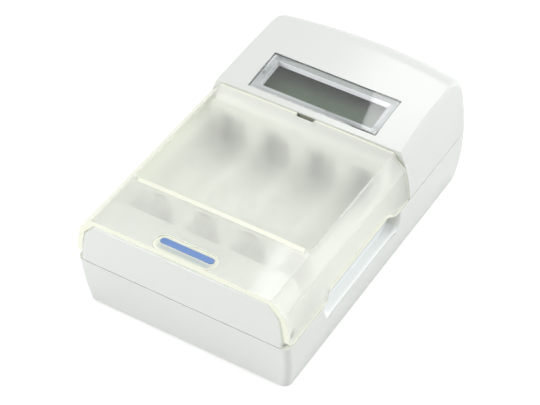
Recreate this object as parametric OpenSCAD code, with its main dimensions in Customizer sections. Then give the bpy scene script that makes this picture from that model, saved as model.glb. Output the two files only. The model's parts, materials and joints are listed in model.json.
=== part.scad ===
// Desktop battery charger with four bays under a hinged, frosted lid and a display at the rear.
// Every place below is measured from the front edge (y), the centre plane (x) and the underside
// of the case (z); seat() then moves a piece so that the origin is at the middle of the footprint.

/* [Case] */
// Width of the case at its parting line
case_w = 81; // [80:0.5:86]
// Length of the case, from the front edge to the middle of the bowed rear wall
case_l = 128.5; // [127:0.5:140]
// Height of the lower shell, where the two shells meet
split_h = 20.8; // [20:0.1:22]
// Wall of the two shells
wall = 2; // [1.6:0.1:2.2]
// How far the rear wall bows out at its middle
rear_bow = 3.8; // [1:0.2:6]
// Radius of the two front corners
front_corner_r = 2.6; // [1.5:0.1:4]
// Radius of the two rear corners
rear_corner_r = 7.5; // [4:0.5:8]
// How much narrower each side is at the underside
side_draft = 1.6; // [0.4:0.1:2]
// How far the front leans in at the underside
front_draft = 2.5; // [1:0.1:4]
// How far the rear leans in at the underside
rear_draft = 2.6; // [1:0.1:4]
// How far the rubber feet stand out below the case
foot_proud = 0.6; // [0.3:0.1:1.5]

/* [Rear housing] */
// Highest point of the display housing above the underside
housing_h = 42.7; // [42.4:0.1:46]
// Distance from the front edge of the case to the housing
housing_y = 79.9; // [79.6:0.1:84]
// How far the crease between top and side lies in from the widest point
crease_in = 5.2; // [4:0.1:7]
// Length of the roll from the top into the rear wall
roll_l = 11; // [5:0.5:12]
// Height of that roll
roll_h = 6; // [4:0.5:8]

/* [Lid] */
// Height of the lid's flat top above the underside of the case
lid_h = 40; // [39.8:0.1:41]
// Thickness of the lid
lid_t = 2; // [1.6:0.1:2.2]
// How much higher the lid is along its middle
lid_crown = 0.4; // [0:0.1:0.8]
// How far the edge of the lid's flat top lies in from the side of the case
lid_top_in = 6.6; // [6:0.1:7.2]
// How far the crease of the lid's side lies in from the side of the case
lid_mid_in = 1.7; // [1.5:0.05:1.9]
// Height of that crease above the underside of the case
lid_mid_h = 34.5; // [33.5:0.1:35.5]
// Distance from the front edge of the case to the lid's front edge
lid_y = 1; // [0.8:0.1:1.4]
// Gap between the lid and the housing behind it
lid_gap = 0.4; // [0.4:0.1:1]
// Distance from the front edge of the case to the hinge
hinge_y = 4.3; // [4.2:0.1:5]
// Height of the hinge above the parting line
hinge_rise = 3.7; // [3.7:0.1:4.2]
// Radius of the hinge pins
pin_r = 1.5; // [1.2:0.1:1.8]

/* [Bays] */
// Number of cells side by side
bays = 4; // [4:1:4]
// Distance from the outer cells' centre lines to the side of the case
bay_margin = 13.95; // [13.85:0.05:14.5]
// Diameter of the large cell
cell_d = 14.5; // [14:0.1:14.6]
// Length of the large cell over its contacts
cell_l = 50.5; // [49:0.5:51]
// Length of the small cell over its contacts
small_cell_l = 44.5; // [43:0.5:45]
// Height of the cells' centre line above the underside of the case
cell_z = 25.5; // [25:0.1:26]
// Room round a cell in its trough
cell_gap = 0.15; // [0.1:0.05:0.3]
// Distance from the front edge of the case to the fixed contacts' faces
fixed_contact_y = 71.3; // [71:0.1:72]
// Wall of the battery tray
tray_wall = 1.2; // [1:0.1:1.3]
// Width of a sliding contact
slider_w = 9.2; // [8:0.1:10]
// Thickness of a sliding contact's plate
slider_t = 1.8; // [1.5:0.1:2.2]

/* [Display] */
// Width of the display window
window_w = 50.2; // [44:0.2:54]
// Length of the display window, front to rear
window_l = 18.4; // [17:0.2:21]
// Distance from the housing's front edge to the window
window_in = 2.4; // [1.8:0.1:3]
// Width of the silver border round the glass
border = 2.4; // [1.8:0.1:2.8]

/* [Finger recesses] */
// Height of a recess's floor above the underside
recess_z = 13.3; // [12:0.1:15]
// Front end of a recess
recess_y0 = 24; // [22:0.5:28]
// Rear end of a recess
recess_y1 = 73.2; // [68:0.2:74]
// Radius of a recess's outer edge
recess_round = 1.6; // [0.5:0.1:2]

/* [Badge] */
// Length of the blue inlay in the lid
badge_w = 20; // [14:0.5:26]
// Breadth of the blue inlay
badge_l = 2.5; // [2:0.1:3]

/* [Hidden] */
bay_ids = [for (i = [1 : bays]) str(i)];

// Colours
shell_white = [0.93, 0.94, 0.93];
lid_frost = [0.9, 0.92, 0.86, 0.6];
badge_blue = [0.45, 0.58, 0.82];
silver_grey = [0.7, 0.72, 0.74];
clear_tint = [0.85, 0.88, 0.9, 0.35];
lcd_olive = [0.38, 0.4, 0.36];
board_green = [0.1, 0.35, 0.2];
nickel = [0.72, 0.71, 0.66];
steel = [0.6, 0.6, 0.6];
part_black = [0.1, 0.1, 0.11];

// Clearances: between fixed pieces, between moving ones, round a pin and between the shells
fit = 0.1;
run = 0.3;
pin_gap = 0.05;
past = 0.5;
seam = 0.3;
$fn = 48;

// Sizes worked out from the ones above
half_w = case_w / 2;
crown_y = housing_y + (case_l - housing_y) * 0.5;
crown_k = 0.0033;
lid_l = housing_y - lid_gap - lid_y;
lid_top_w = case_w - 2 * lid_top_in;
lid_mid_w = case_w - 2 * lid_mid_in;
lid_under = lid_h - lid_t;
hinge_z = split_h + hinge_rise;
skirt_z = split_h + 0.2;
cell_r = cell_d / 2;
trough_r = cell_r + cell_gap;
ridge_z = cell_z - 2.9;
tray_y0 = 13;
tray_y1 = fixed_contact_y + 2;
tray_front_t = 1.5;
tray_top = lid_under - 0.6;
run_y0 = tray_y0 + tray_front_t;
bay_pitch = (case_w - 2 * bay_margin) / (bays - 1);
tray_half_w = half_w - bay_margin + trough_r + tray_wall;
sill_x0 = tray_half_w + fit;
sill_x1 = sill_x0 + tray_wall;
sill_top = cell_z + 4.5;
slider_travel = 10.5;
slider_y = fixed_contact_y - small_cell_l + 4.2;
slider_top = cell_z + 5.5;
strip_t = 0.35;
strip_w = 3.9;
spring_z = cell_z - 1;
spring_r = 2.3;
spring_wire_r = 0.25;
spring_turns = 5;
board_z = 6.4;
board_t = 1.6;
board_top = board_z + board_t;
board_half_w = half_w - 7.5;
board_y0 = 17;
board_y1 = case_l - 8.5;
rear_y0 = tray_y1 + tray_wall;
window_t = 1.2;
window_y = housing_y + window_in + window_l / 2;
window_tilt = atan(2 * crown_k * (crown_y - window_y));
window_z = housing_h - crown_k * pow(crown_y - window_y, 2);
bezel_t = 2.5;
lcd_t = 2.2;
guide_t = 1.6;
guide_z = -window_t - bezel_t - fit - lcd_t - guide_t;
display_t = 1.2;
peg_x = window_w / 2 + 1.2;
glass_w = window_w - 2 * border - 1.2;
glass_l = window_l - 2 * border - 0.6;
display_w = 2 * peg_x + 2.4;
screw_r = 1.5;
head_r = 2.8;
screw_spots = [for (x = [-1, 1], y = [9.1, case_l - 15]) [x * (half_w - 11), y]];
board_spots = [for (x = [-1, 1], y = [board_y0 + 23, rear_y0 + 17.5]) [x * (half_w - 12.5), y]];
ribbon_y = window_y + 12.5;
chip_spot = [board_half_w * 0.18, (rear_y0 + ribbon_y) / 2];
can_spots = [for (y = [13.5, 25.5]) [board_half_w * 0.575, rear_y0 + y]];
coil_spots = [for (x = [0.73, 0.24]) [-x * board_half_w, rear_y0 + 9.5]];
transistor_y = board_y0 + 13;
foot_r = 4.5;
foot_sunk = 0.8;
foot_spots = [for (x = [-1, 1], y = [front_draft + 22, case_l - rear_draft - 24]) [x * (half_w - 12), y]];
head_seat = 12;
jack_x = 20.5 - half_w;
jack_w = 9;
jack_h = 11;
jack_l = 14;
jack_z = board_top + 6.5;
jack_nose_r = 4;
jack_bore_r = 2.8;
badge_y = lid_y + 4.8;
badge_t = 1;
jack_y = case_l - rear_draft - wall - jack_l - 1.2;
side_gap = 0.6;
tongue_w = 6.4;
tongue_y = housing_y - lid_gap - 1.6;
neck_w = 3.8;
tab_z = cell_z - trough_r - 0.9;
foot_top = cell_z - trough_r - tray_wall - run;
rib_half_w = lid_top_w / 2 - 2.1;
rib_y = 24.8;
rib_t = 1.6;
rib_h = 1.6;
spring_y0 = run_y0 + strip_t + spring_wire_r;
spring_y1 = slider_y - slider_t - strip_t - spring_wire_r;
ribbon_z = window_z + guide_z - display_t + 0.1;
leaf_h = 15;
leaf_bow = 2;
leaf_r = (leaf_h * leaf_h / 4 + leaf_bow * leaf_bow) / (2 * leaf_bow);

module seat() translate([0, -case_l / 2, foot_proud]) children();
function bay_x(i) = (i - (bays + 1) / 2) * bay_pitch;
function unit(v) = v / norm(v);

// One corner b of an outline, between a and c, as an arc of radius r
function corner(a, b, c, r, n) =
    r <= 0 ? [b] :
    let (u = unit(a - b), v = unit(c - b), half = acos(u * v) / 2,
         mid = b + unit(u + v) * r / sin(half), p = b + u * r / tan(half) - mid,
         q = b + v * r / tan(half) - mid, start = atan2(p.y, p.x),
         sweep = (atan2(q.y, q.x) - start + 540) % 360 - 180)
    [for (k = [0 : n]) mid + r * [cos(start + sweep * k / n), sin(start + sweep * k / n)]];

// A closed outline of [x, y, radius] corners
function rounded(pts, n = 6) =
    let (m = len(pts), xy = [for (p = pts) [p.x, p.y]])
    [for (k = [0 : m - 1]) each corner(xy[(k + m - 1) % m], xy[k], xy[(k + 1) % m], pts[k].z, n)];

// Outline of the case seen from above, drawn in at the sides, the front and the rear
function plan(side, front, rear, shrink = 0) =
    let (w = half_w - side, y1 = case_l - rear, rr = max(rear_corner_r - side, 1.2),
         fr = max(front_corner_r - shrink, 0.6))
    rounded(concat(
        [[-w, front, fr], [w, front, fr], [w, y1 - rear_bow, rr]],
        [for (t = [0.7, 0.45, 0.2, 0, -0.2, -0.45, -0.7]) [w * t, y1 - rear_bow * t * t, 0]],
        [[-w, y1 - rear_bow, rr]]), 7);

// Solid through a stack of outlines with the same number of points
module loft(rings, heights) {
    n = len(rings[0]);
    m = len(rings) - 1;
    polyhedron(
        [for (i = [0 : m]) for (p = rings[i]) [p.x, p.y, heights[i]]],
        concat([[for (j = [0 : n - 1]) j]],
               [for (i = [0 : m - 1], j = [0 : n - 1])
                    [i * n + j, (i + 1) * n + j, (i + 1) * n + (j + 1) % n, i * n + (j + 1) % n]],
               [[for (j = [n - 1 : -1 : 0]) m * n + j]]),
        convexity = 6);
}

// Extrusions along the length and across the width of outlines drawn upright
module along_y(y0, y1) translate([0, y1, 0]) rotate([90, 0, 0]) linear_extrude(y1 - y0) children();
module along_x(x0, x1) translate([x0, 0, 0]) rotate([90, 0, 90]) linear_extrude(x1 - x0) children();
module box(x0, x1, y0, y1, z0, z1) translate([x0, y0, z0]) cube([x1 - x0, y1 - y0, z1 - z0]);
module both_sides() {
    children();
    mirror([1, 0, 0]) children();
}

// Draft of the lower shell's walls, none at the parting line
function drop(z) = pow(max(split_h - z, 0) / split_h, 3);
module lower_form(t, z0, z1, steps) {
    zs = [for (k = [0 : steps]) z0 + (z1 - z0) * k / steps];
    loft([for (z = zs) plan(side_draft * drop(z) + t, front_draft * (1 - z / split_h) + t,
                            rear_draft * drop(z) + t, t)], zs);
}

// Side recess that lets a finger under the lid's skirt
function recess_outline(grow) = rounded([
    [recess_y0 - grow, recess_z + 5.5, 0], [recess_y0 + 0.4 - grow, recess_z - grow, 4.5],
    [recess_y1 - 0.8 + grow, recess_z - grow, 5], [recess_y1 + grow, recess_z + 5.5, 0],
    [recess_y1 + grow, split_h + past, 0], [recess_y0 - grow, split_h + past, 0]]);
module recess_cut() {
    x0 = half_w - recess_round;
    turns = [for (a = [0 : 22.5 : 90]) a];
    along_x(sill_x1, x0 + 0.01) polygon(recess_outline(0));
    rotate([90, 0, 90]) loft(
        concat([for (a = turns) recess_outline(recess_round * (1 - cos(a)))], [recess_outline(recess_round)]),
        concat([for (a = turns) x0 + recess_round * sin(a)], [half_w + 1]));
}
module recess_wall() {
    intersection() {
        along_x(sill_x0, half_w + past) polygon(recess_outline(recess_round + 0.4));
        lower_form(0, 0, split_h, 6);
    }
}

// Lower shell: a drafted tub with screw posts, board posts, finger recesses and foot pockets
module lower_shell() color(shell_white) seat() difference() {
    union() {
        difference() {
            lower_form(0, 0, split_h, 6);
            lower_form(wall, wall, split_h + 0.01, 6);
        }
        both_sides() recess_wall();
        for (p = screw_spots) translate([p.x, p.y, 0]) cylinder(h = split_h - 1, r = head_r + 1);
        for (p = board_spots) translate([p.x, p.y, wall - past]) cylinder(h = board_z - wall + past, r = 2.6);
        jack_frame();
    }
    both_sides() recess_cut();
    for (p = screw_spots) translate([p.x, p.y, 0]) {
        translate([0, 0, -past]) cylinder(h = split_h, r = screw_r + fit);
        translate([0, 0, -past]) cylinder(h = past + head_seat, r = head_r + 0.2);
    }
    for (p = board_spots) translate([p.x, p.y, wall]) cylinder(h = board_z, r = 0.8);
    for (p = foot_spots) translate([p.x, p.y, -past]) cylinder(h = past + foot_sunk, r = foot_r + fit);
    translate([jack_x, case_l - 12, jack_z]) rotate([-90, 0, 0]) cylinder(h = 30, r = jack_nose_r + fit);
    vent_slots();
}

// Ribs that hold the jack against the rear wall
module jack_frame() {
    y1 = jack_y + jack_l;
    for (side = [-1, 1])
        box(jack_x + side * (jack_w / 2 + 0.9) - 0.7, jack_x + side * (jack_w / 2 + 0.9) + 0.7,
            board_y1 + fit, y1 + 1, wall - past, jack_z + 3);
}

// Cooling slots through the floor under the cells
module vent_slots() {
    for (i = [-4 : 4]) translate([i * 6, 0, -past])
        linear_extrude(wall + 2 * past) hull_slot(46, 66, 0.9);
}
module hull_slot(y0, y1, r) {
    translate([0, y0]) circle(r, $fn = 24);
    translate([0, y1]) circle(r, $fn = 24);
    translate([-r, y0]) square([2 * r, y1 - y0]);
}

// Side of the upper shell: a bulging face that ends in the crease
function side_in(z) = crease_in * pow(max(z - split_h, 0) / (housing_h - split_h), 2);
function roll_in(z) = let (up = min(max(z - (housing_h - roll_h), 0) / roll_h, 1)) roll_l * (1 - sqrt(1 - up * up));
function crown(y) = housing_h - crown_k * pow(min(y - crown_y, 0), 2);
module housing_form(t, z0, top) {
    z1 = housing_h - roll_h;
    zs = concat([for (k = [0 : 4]) z0 + (z1 - z0) * k / 4], [for (a = [15 : 15 : 75]) z1 + roll_h * sin(a)], [housing_h + 0.05]);
    intersection() {
        loft([for (z = zs) plan(side_in(z) + t, t, roll_in(z) + t, t)], zs);
        along_x(-half_w, half_w) polygon(concat(
            [[housing_y + t, z0 - 1], [case_l + 1, z0 - 1], [case_l + 1, housing_h - top]],
            [for (k = [0 : 10]) let (y = crown_y + (housing_y + t - crown_y) * k / 10) [y, crown(y) - top]]));
    }
}

// One side of the lid's outline from the skirt up to the flat top, drawn in by a gap
function lid_ring(g) =
    let (p = [[half_w - 0.1, skirt_z - 1], [half_w - 0.1, skirt_z], [half_w, split_h + 3.7],
              [half_w - 0.5, split_h + 8], [lid_mid_w / 2, lid_mid_h], [lid_top_w / 2, lid_h], [0, lid_h]])
    [for (k = [1 : 5]) let (u = unit(p[k] - p[k - 1]), v = unit(p[k + 1] - p[k]), a = [-u.y, u.x], b = [-v.y, v.x])
        p[k] + g * (a + b) / (1 + a * b)];
module mirrored(r, z0) {
    n = len(r) - 1;
    polygon(concat([[-r[0].x, z0], [r[0].x, z0]], r, [for (k = [n : -1 : 0]) [-r[k].x, r[k].y]]));
}
module under_lid(g, z0) mirrored(lid_ring(lid_t + g), z0);

// Upper shell: display housing, front block and the two sills that join them
module upper_shell() color(shell_white) seat() difference() {
    union() {
        difference() {
            housing_form(0, split_h + seam, 0);
            housing_form(wall, split_h - 0.01, wall);
        }
        front_block();
        both_sides() sill();
        for (p = screw_spots) {
            translate([p.x, p.y, split_h - 0.8]) cylinder(h = 12, r = head_r + 0.4);
            if (p.y > housing_y) both_sides() box(abs(p.x), half_w - 2.2, p.y - 0.7, p.y + 0.7, split_h, split_h + 9);
        }
        display_seat();
        locating_lip();
    }
    in_display() {
        translate([0, 0, -window_t - bezel_t - fit]) centred_plate(window_w + 2 * fit, window_l + 2 * fit, 8, 0.4);
        translate([0, 0, guide_z - 3]) centred_plate(glass_w + 2.2 + 2 * fit, glass_l + 0.6 + 2 * fit, 8, 0.3);
    }
    for (p = screw_spots) translate([p.x, p.y, split_h - 1]) cylinder(h = 10, r = screw_r - 0.2);
    both_sides() translate([sill_x0 - 3, hinge_y, hinge_z]) rotate([0, 90, 0])
        cylinder(h = 8, r = pin_r + pin_gap);
    latch_pocket();
}

// Frame under the window that carries the display, with two pegs through its board
module display_seat() {
    in_display() translate([0, 0, guide_z + fit]) {
        centred_plate(window_w + 5, window_l + 2.6, -guide_z - wall / 2, 1);
        for (side = [-1, 1]) translate([side * peg_x, 0, -display_t - 1]) cylinder(h = display_t + 1 + past, r = 0.9);
    }
}

// Front block, which fills the lid's front end and carries the hinge
module front_block() {
    difference() {
        intersection() {
            along_y(0, tray_y0 - fit) under_lid(side_gap, split_h + seam);
            along_x(-half_w, half_w) polygon(rounded([
                [0, split_h, 0], [tray_y0, split_h, 0], [tray_y0, tray_top, 0], [0.9, tray_top, 0.8]]));
            linear_extrude(50) polygon(plan(1.2, 0, 0));
        }
        intersection() {
            along_y(wall, tray_y0 - fit - wall) offset_block();
            box(-half_w, half_w, 0, tray_y0, split_h - past, tray_top - wall);
        }
    }
}
module offset_block() {
    mirrored(lid_ring(lid_t + side_gap + wall), split_h - 1);
}

// Sill: the wall beside the outer cells, inside the lid's skirt, with a ledge for the tray
module sill() {
    box(sill_x0, sill_x1, tray_y0 - fit - 1, housing_y + 1, split_h, sill_top);
    box(sill_x0 - 1.1, sill_x0 + 0.2, tray_y0 + 4, tray_y1 - 4, split_h, ridge_z - tray_wall - fit);
    box(sill_x0 - 1.1, sill_x0 - fit, tray_y0 + 4, tray_y1 - 4, split_h - 1.5, split_h + fit);
}

// Lip that drops into the lower shell, clear of the recesses
module locating_lip() {
    difference() {
        intersection() {
            difference() {
                linear_extrude(split_h + 1.2) polygon(plan(wall + fit, wall + 0.3, wall + fit, wall));
                translate([0, 0, -1]) linear_extrude(split_h + 5)
                    polygon(plan(wall + 1.1, wall + 1.1, wall + 1.1, wall));
            }
            box(-half_w, half_w, 0, case_l, split_h - 1.4, split_h + 1.2);
        }
        box(-half_w, half_w, tray_y0 - 2, housing_y + 2, 0, 50);
        both_sides() box(half_w - lid_t - side_gap, half_w, -1, tray_y0, split_h + fit, 50);
        translate([jack_x - 8, case_l - 20, 0]) cube([16, 30, split_h]);
    }
}

// Pocket in the housing's front wall behind the lid's tongue
module latch_pocket() {
    box(-tongue_w / 2 - 0.6, tongue_w / 2 + 0.6, housing_y - 1, housing_y + 0.9, tray_top - 5, lid_h - 0.4);
}

// Frame of the display: x across, y along the window, z out of the housing's top
module in_display() translate([0, window_y, window_z]) rotate([window_tilt, 0, 0]) children();
module centred_plate(w, l, t, r) {
    linear_extrude(t) polygon(rounded([[-w / 2, -l / 2, r], [w / 2, -l / 2, r], [w / 2, l / 2, r], [-w / 2, l / 2, r]]));
}

// Battery tray: four troughs with end walls, slots for the sliding contacts and a rear deck
module trough_outline() {
    difference() {
        intersection() {
            union() {
                for (i = [1 : bays]) translate([bay_x(i), cell_z]) circle(trough_r + tray_wall, $fn = 96);
                translate([-tray_half_w, ridge_z - tray_wall]) square([2 * tray_half_w, tray_wall]);
            }
            translate([-tray_half_w, 0]) square([2 * tray_half_w, ridge_z]);
        }
        for (i = [1 : bays]) translate([bay_x(i), cell_z]) circle(trough_r, $fn = 96);
    }
    for (side = [-1, 1])
        translate([side * (tray_half_w - tray_wall / 2) - tray_wall / 2, ridge_z - tray_wall])
            square([tray_wall, sill_top - ridge_z + tray_wall - 0.5]);
}
module end_wall() {
    intersection() {
        under_lid(side_gap, cell_z - trough_r - tray_wall - 0.4);
        translate([-tray_half_w, 0]) square([2 * tray_half_w, tray_top]);
    }
}
module battery_tray() color(shell_white) seat() difference() {
    union() {
        along_y(tray_y0, tray_y1 + tray_wall) trough_outline();
        along_y(tray_y0, run_y0) end_wall();
        along_y(tray_y1, tray_y1 + tray_wall) end_wall();
        intersection() {
            box(-tray_half_w, tray_half_w, tray_y1, housing_y - run, tray_top - tray_wall, tray_top);
            along_y(tray_y1, housing_y) under_lid(side_gap, 0);
        }
        for (i = [1 : bays]) translate([bay_x(i), run_y0, spring_z]) rotate([-90, 0, 0])
            cylinder(h = 1.7, r = 1.4);
    }
    for (i = [1 : bays]) translate([bay_x(i), 0, 0]) {
        // Slot for the slider's neck
        box(-neck_w / 2 - run, neck_w / 2 + run, slider_y - slider_travel - slider_t - 1.2, slider_y + 0.6,
            cell_z - trough_r - tray_wall - 1, cell_z - trough_r + 0.6);
        // Window in the trough's floor for the fixed contact, and slots for its tab and the terminal
        box(-4.2, 4.2, tray_y1 - 1.3, tray_y1, cell_z - trough_r - tray_wall - 1, tab_z + 2.4);
        box(-4.2, 4.2, tray_y1 - 0.4, tray_y1 + tray_wall + 1, tab_z - 0.25, tab_z + 0.65);
        box(-2.2, 2.2, run_y0, run_y0 + 0.6, cell_z - trough_r - tray_wall - 1, cell_z - trough_r + 1);
        // Window in the rear wall, so that the leaf can give way
        box(-5.2, 5.2, tray_y1 - past, tray_y1 + tray_wall + past, tab_z + 2.4, tab_z + leaf_h - 0.2);
    }
    // Room for the lid's tongue
    box(-tongue_w / 2 - 0.5, tongue_w / 2 + 0.5, tongue_y - 0.6, housing_y, tray_top - 3, tray_top + 1);
}

// Lid: folded section with two creases a side, arched skirts, a stiffening rib and hinge pins
module lid_outline(g, z0) {
    r = lid_ring(g);
    n = len(r) - 1;
    top = [for (k = [-6 : 6]) let (t = k / 6) [-r[n].x * t, r[n].y + lid_crown * (1 - t * t)]];
    polygon(concat([[-r[0].x, z0], [r[0].x, z0]], [for (k = [0 : n - 1]) r[k]], top,
                   [for (k = [n - 1 : -1 : 0]) [-r[k].x, r[k].y]]));
}
module skirt_arch() {
    along_x(-half_w - 1, half_w + 1) polygon(rounded([
        [recess_y0 + 0.2, skirt_z - 1, 0], [recess_y0 + 2, split_h + 4.5, 2],
        [recess_y1 - 8.6, split_h + 4.5, 4], [recess_y1 - 1.2, skirt_z - 1, 0]]));
}
module lid() color(lid_frost) seat() difference() {
    union() {
        difference() {
            along_y(lid_y, lid_y + lid_l) lid_outline(0, skirt_z);
            along_y(lid_y - 1, lid_y + lid_l + 1) lid_outline(lid_t, skirt_z - 2);
        }
        // Rib across the underside, in front of the cells
        box(-rib_half_w, rib_half_w, rib_y, rib_y + rib_t, lid_under - rib_h, lid_under + 0.2);
        // Latch tongue under the notch
        box(-tongue_w / 2, tongue_w / 2, tongue_y, tongue_y + 1.2, lid_under - 3, lid_under + lid_crown);
        both_sides() hinge_stub();
    }
    // Front lower corners of the skirts, rounded about the hinge
    both_sides() difference() {
        box(lid_top_w / 2, half_w + 1, lid_y - 1, hinge_y, skirt_z - 1, hinge_z);
        translate([0, hinge_y, hinge_z]) rotate([0, 90, 0]) cylinder(h = half_w + 1, r = hinge_y - lid_y);
    }
    skirt_arch();
    // Notch in the rear edge
    translate([0, 0, lid_under - 1]) linear_extrude(5)
        polygon(rounded([[-3.5, lid_y + lid_l - 1.5, 0.5], [3.5, lid_y + lid_l - 1.5, 0.5],
                         [3.5, lid_y + lid_l + 1, 0], [-3.5, lid_y + lid_l + 1, 0]]));
    // Dish and pocket of the inlay
    translate([0, badge_y - 1, lid_h - 0.1]) linear_extrude(5) pill(badge_w + 2.8, badge_l + 4.4);
    translate([0, badge_y, lid_h - badge_t]) linear_extrude(5) pill(badge_w + 2 * fit, badge_l + 2 * fit);
}
module pill(w, l) {
    square([w - l, l], center = true);
    for (side = [-1, 1]) translate([side * (w - l) / 2, 0]) circle(l / 2);
}
module hinge_stub() {
    x_in = half_w - lid_t - side_gap + run;
    translate([sill_x0 - 1, hinge_y, hinge_z]) rotate([0, 90, 0]) cylinder(h = half_w - lid_t - sill_x0 + 1.2, r = pin_r);
    translate([x_in, hinge_y, hinge_z]) rotate([0, 90, 0]) cylinder(h = half_w - 1.5 - x_in, r = pin_r + 0.9);
}

// Blue inlay, a pill that lies in the lid
module lid_badge() color(badge_blue) seat()
    translate([0, badge_y, lid_h - badge_t]) linear_extrude(badge_t + 0.15) pill(badge_w, badge_l);

// Display stack, from the clear window down to the board
module lcd_window() color(clear_tint) seat() in_display()
    translate([0, 0, -window_t]) difference() {
        centred_plate(window_w, window_l, window_t, 0.4);
        translate([0, 0, window_t]) chamfer_frame(window_w, window_l, 0.5);
    }
module chamfer_frame(w, l, c) {
    for (side = [-1, 1]) {
        translate([side * w / 2, 0, 0]) rotate([0, 45, 0]) cube([c, l + 2, c], center = true);
        translate([0, side * l / 2, 0]) rotate([45, 0, 0]) cube([w + 2, c, c], center = true);
    }
}
module lcd_bezel() color(silver_grey) seat() in_display() translate([0, 0, -window_t - bezel_t]) difference() {
    centred_plate(window_w, window_l, bezel_t, 0.4);
    translate([0, 0, -1]) centred_plate(glass_w, glass_l, bezel_t + 2, 0.4);
}
module lcd_panel() color(lcd_olive) seat() in_display()
    translate([0, 0, -window_t - bezel_t - fit - lcd_t]) centred_plate(glass_w + 2.2, glass_l + 0.6, lcd_t, 0.2);
module light_guide() color("white") seat() in_display()
    translate([0, 0, guide_z]) centred_plate(glass_w + 1, glass_l - 2.6, guide_t - 0.1, 0.2);
module contact_strips() color(part_black) seat() in_display()
    for (side = [-1, 1]) translate([-glass_w / 2, side * (glass_l / 2 - 0.5) - 0.6, guide_z])
        cube([glass_w, 1.2, guide_t - 0.1]);
module display_board() color(board_green) seat() in_display() translate([0, 0, guide_z - display_t]) difference() {
    centred_plate(display_w, glass_l + 4.4, display_t, 0.8);
    for (side = [-1, 1]) translate([side * peg_x, 0, -1]) cylinder(h = display_t + 2, r = 1);
}

// Boards and the parts on them
module main_board() color(board_green) seat() difference() {
    box(-board_half_w, board_half_w, board_y0, board_y1, board_z, board_top);
    for (p = board_spots) translate([p.x, p.y, 0]) cylinder(h = 20, r = 1.1);
    for (p = screw_spots) translate([p.x, p.y, 0]) cylinder(h = 20, r = head_r + 1.6);
}
module microcontroller() color(part_black) seat() translate([chip_spot.x, chip_spot.y, board_top]) {
    translate([-5, -5, 0.1]) cube([10, 10, 1.4]);
    for (turn = [0 : 3]) rotate(turn * 90) for (k = [-4 : 4]) translate([k - 0.2, 4.6, 0]) cube([0.4, 1.6, 0.3]);
}
module capacitors() color("darkslateblue") seat()
    for (p = can_spots) translate([p.x, p.y, board_top]) rotate_extrude()
        polygon([[0, 0], [4, 0], [4, 1.6], [3.7, 2], [4, 2.4], [4, 12], [3.4, 12.4], [0, 12.4]]);
module inductors() color([0.2, 0.2, 0.22]) seat()
    for (p = coil_spots) translate([p.x, p.y, board_top]) rotate_extrude()
        polygon([[0, 0], [5.5, 0], [5.5, 1.2], [4.4, 1.6], [4.4, 6], [5.5, 6.4], [5.5, 7.6], [0, 7.6]]);
module power_transistors() color(part_black) seat()
    for (i = [1 : bays]) translate([bay_x(i) - 3.3, transistor_y, board_top]) {
        cube([6.6, 6.1, 2.3]);
        translate([0.8, -1.4, 0]) cube([5, 1.5, 0.5]);
    }

// Power inlet: a barrel socket with its centre pin
module dc_jack() color(part_black) seat() {
    difference() {
        union() {
            box(jack_x - jack_w / 2, jack_x + jack_w / 2, jack_y, jack_y + jack_l, board_top, board_top + jack_h);
            translate([jack_x, jack_y + jack_l - 1, jack_z]) rotate([-90, 0, 0]) cylinder(h = 4.6, r = jack_nose_r);
        }
        translate([jack_x, jack_y + jack_l - 9.5, jack_z]) rotate([-90, 0, 0]) cylinder(h = 20, r = jack_bore_r);
    }
    translate([jack_x, jack_y + 4, jack_z]) rotate([-90, 0, 0]) cylinder(h = jack_l - 1.6, r = 1);
}

// Flat cable from the main board up to the display's board
module ribbon_cable() color([0.8, 0.8, 0.78]) seat() along_x(-8, 8) polygon(ribbon_path());
function ribbon_path() = let (y0 = ribbon_y, z0 = board_top, z1 = ribbon_z - 0.4, t = 0.4) rounded([
    [y0, z0, 0], [y0 + t, z0, 0], [y0 + t, z1 + t, 1.2], [y0 - 7, z1 + t, 0], [y0 - 7, z1, 0], [y0, z1, 0.8]]);

// Contacts that the springs stand on, one a bay, with a tail down to the board
module spring_terminals() color(nickel) seat() for (i = [1 : bays]) translate([bay_x(i), 0, 0]) difference() {
    box(-2, 2, run_y0, run_y0 + strip_t, board_top, spring_z + 3);
    translate([0, run_y0 - 1, spring_z]) rotate([-90, 0, 0]) cylinder(h = 3, r = 1.45);
}

// Sliding contact of one bay: a plate shaped to the trough, a neck and a foot under the tray
module slider(i) color(shell_white) seat() translate([bay_x(i), 0, 0]) {
    along_y(slider_y - slider_t, slider_y) intersection() {
        translate([0, cell_z]) circle(trough_r - run, $fn = 96);
        translate([-slider_w / 2, 0]) square([slider_w, slider_top]);
    }
    box(-neck_w / 2, neck_w / 2, slider_y - slider_t - 0.8, slider_y, foot_top - past, cell_z - trough_r + 1.2);
    box(-neck_w / 2 - 1.6, neck_w / 2 + 1.6, slider_y - slider_t - 3, slider_y, foot_top - 1.4, foot_top);
    translate([0, slider_y - slider_t, spring_z]) rotate([90, 0, 0]) cylinder(h = 1.7, r = 1.4);
}

// Nickel strip folded over the slider's plate
module slider_contact(i) color(nickel) seat() translate([bay_x(i), 0, 0]) difference() {
    union() {
        box(-strip_w / 2, strip_w / 2, slider_y, slider_y + strip_t, cell_z - 5.6, slider_top + strip_t);
        box(-strip_w / 2, strip_w / 2, slider_y - slider_t - strip_t, slider_y + strip_t, slider_top, slider_top + strip_t);
        box(-strip_w / 2, strip_w / 2, slider_y - slider_t - strip_t, slider_y - slider_t, spring_z - 2.6, slider_top + strip_t);
        translate([0, slider_y + strip_t, cell_z - 1.2]) rotate([-90, 0, 0]) cylinder(h = 0.5, r1 = 1.8, r2 = 1.2);
    }
    translate([0, slider_y - slider_t + 1, spring_z]) rotate([90, 0, 0]) cylinder(h = 3, r = 1.45);
}

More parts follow.
